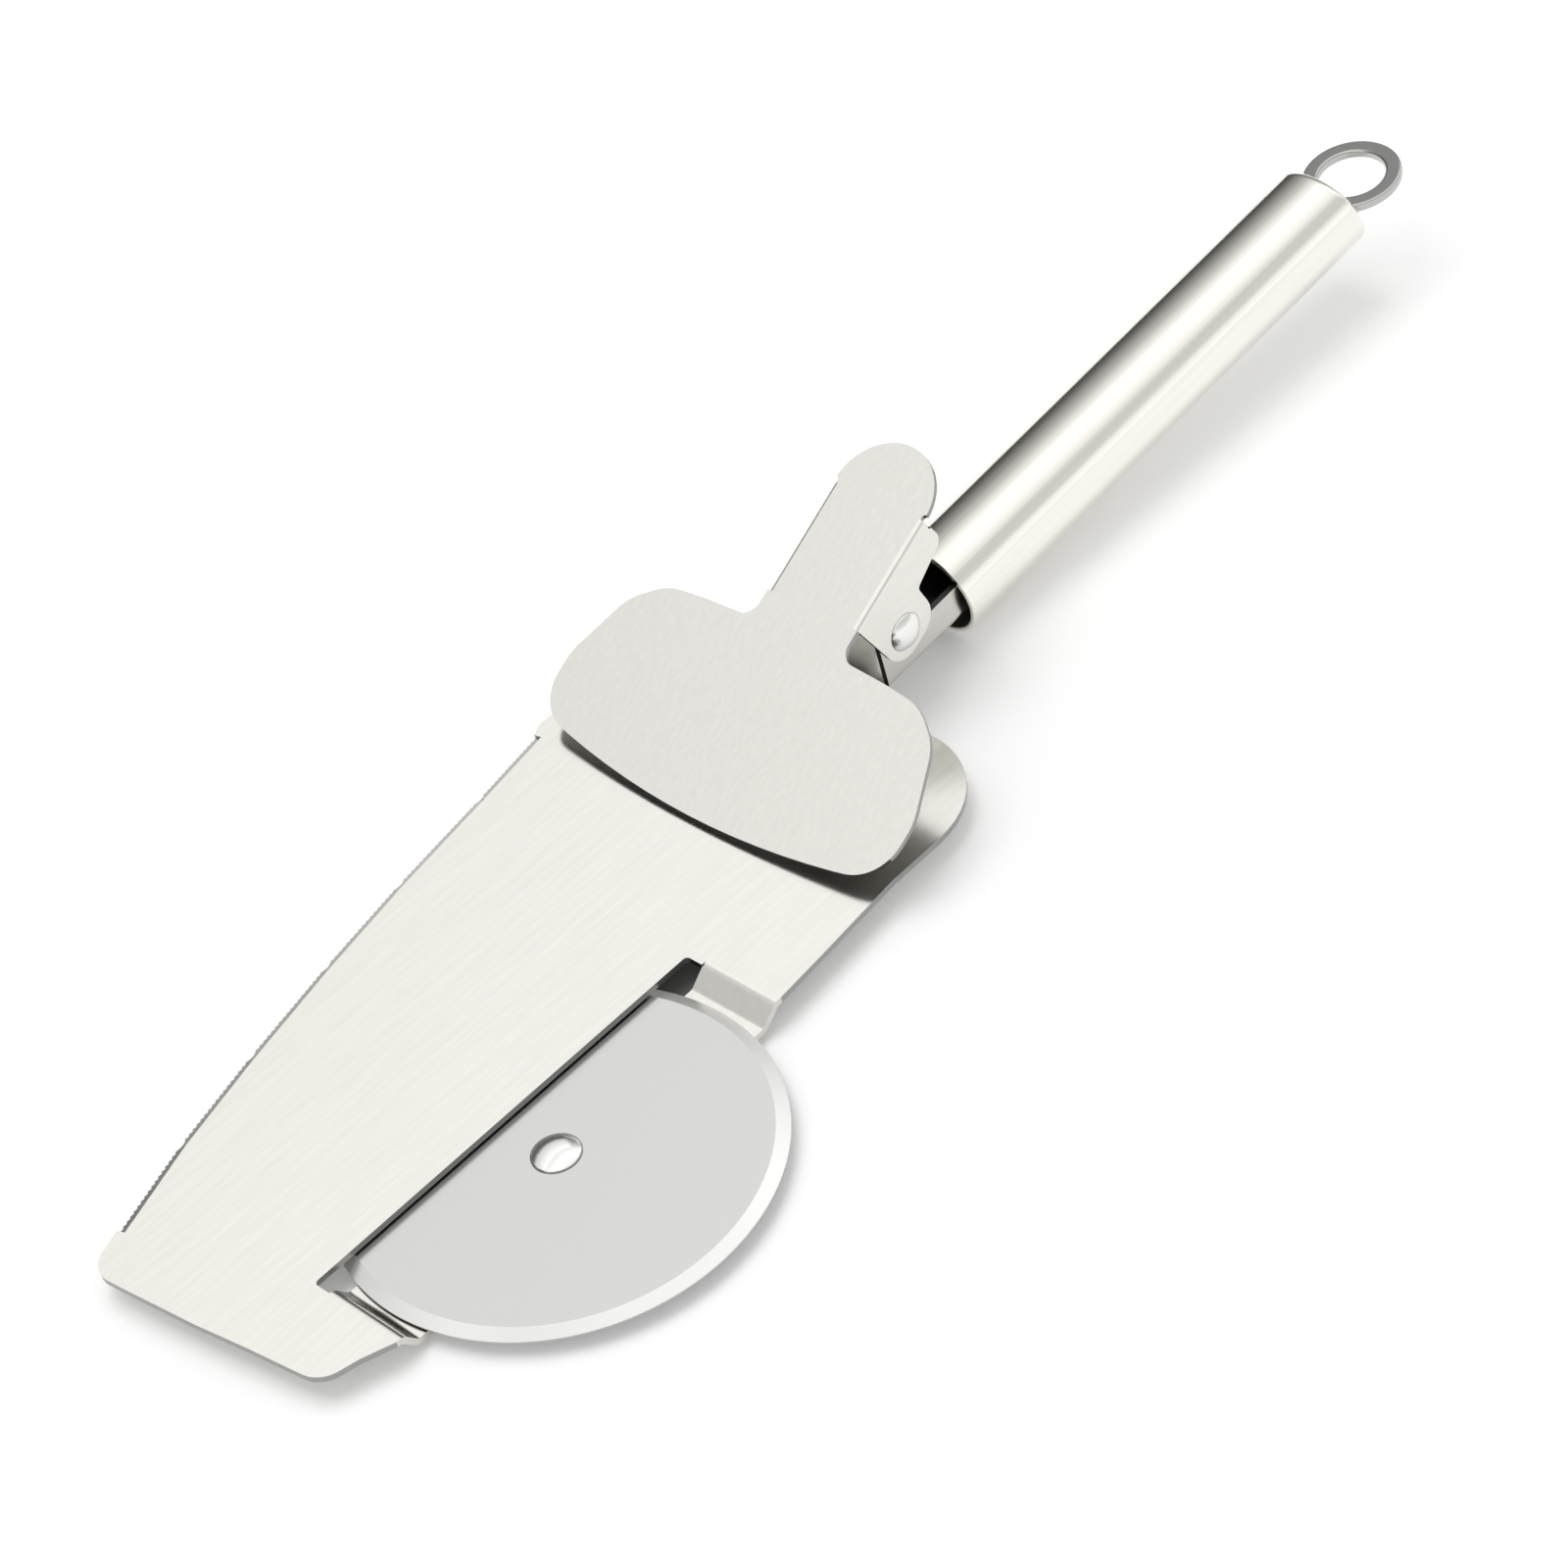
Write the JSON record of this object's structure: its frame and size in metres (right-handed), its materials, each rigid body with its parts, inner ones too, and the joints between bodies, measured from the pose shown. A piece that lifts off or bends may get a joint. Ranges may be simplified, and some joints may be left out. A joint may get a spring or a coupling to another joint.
{
  "type": "pizza knife",
  "caption": "Steel pizza knife: a serrated server blade with a cutting wheel at its side, a sprung clamp that holds the slice down, and a tube handle with a hanging ring.",
  "frame": {"origin": "middle of the part's box in plan, at the height of its lowest point, the lower edge of the tube's mouth", "axes": "+X along the blade and handle, from the blade's tip to the hanging ring; +Y across the blade, from the cutting wheel to the serrated edge; +Z square to the blade, from the wheel to the clamp"},
  "size_m": [0.276, 0.0978, 0.0348],
  "materials": {
    "plate_steel": "stainless sheet brushed along the blade, satin",
    "tube_steel": "satin stainless tube, finely polished along its length",
    "ring_steel": "plain stainless, dull grey",
    "rivet_steel": "polished stainless rivet",
    "wheel_steel": "flat satin face with a bright ground bevel",
    "spring_steel": "drawn spring wire"
  },
  "bodies": {
    "server": {"server_blade": "plate_steel", "handle_tube": "tube_steel", "handle_end_cap": "tube_steel", "hanging_ring": "ring_steel", "wheel_rivet": "rivet_steel", "wheel_washer": "ring_steel", "clamp_spring": "spring_steel"},
    "clamp": {"clamp_plate": "plate_steel", "pivot_rivet": "rivet_steel", "pivot_spacers": "ring_steel"},
    "wheel": {"cutter_wheel": "wheel_steel"}
  },
  "joints": [
    {"name": "clamp_pivot", "type": "hinge", "parent": "server", "child": "clamp", "pos_m": [0.01161, 0.01335, 0.01489], "axis": [0, 1, 0], "range_deg": [0, 43], "stiffness_Nm_per_rad": 0.074, "springref_deg": -57.3, "deforming": ["clamp_spring"]},
    {"name": "wheel_spin", "type": "hinge", "parent": "server", "child": "wheel", "pos_m": [-0.08559, -0.01645, 0.00239], "axis": [0, 0, 1], "continuous": true}
  ]
}
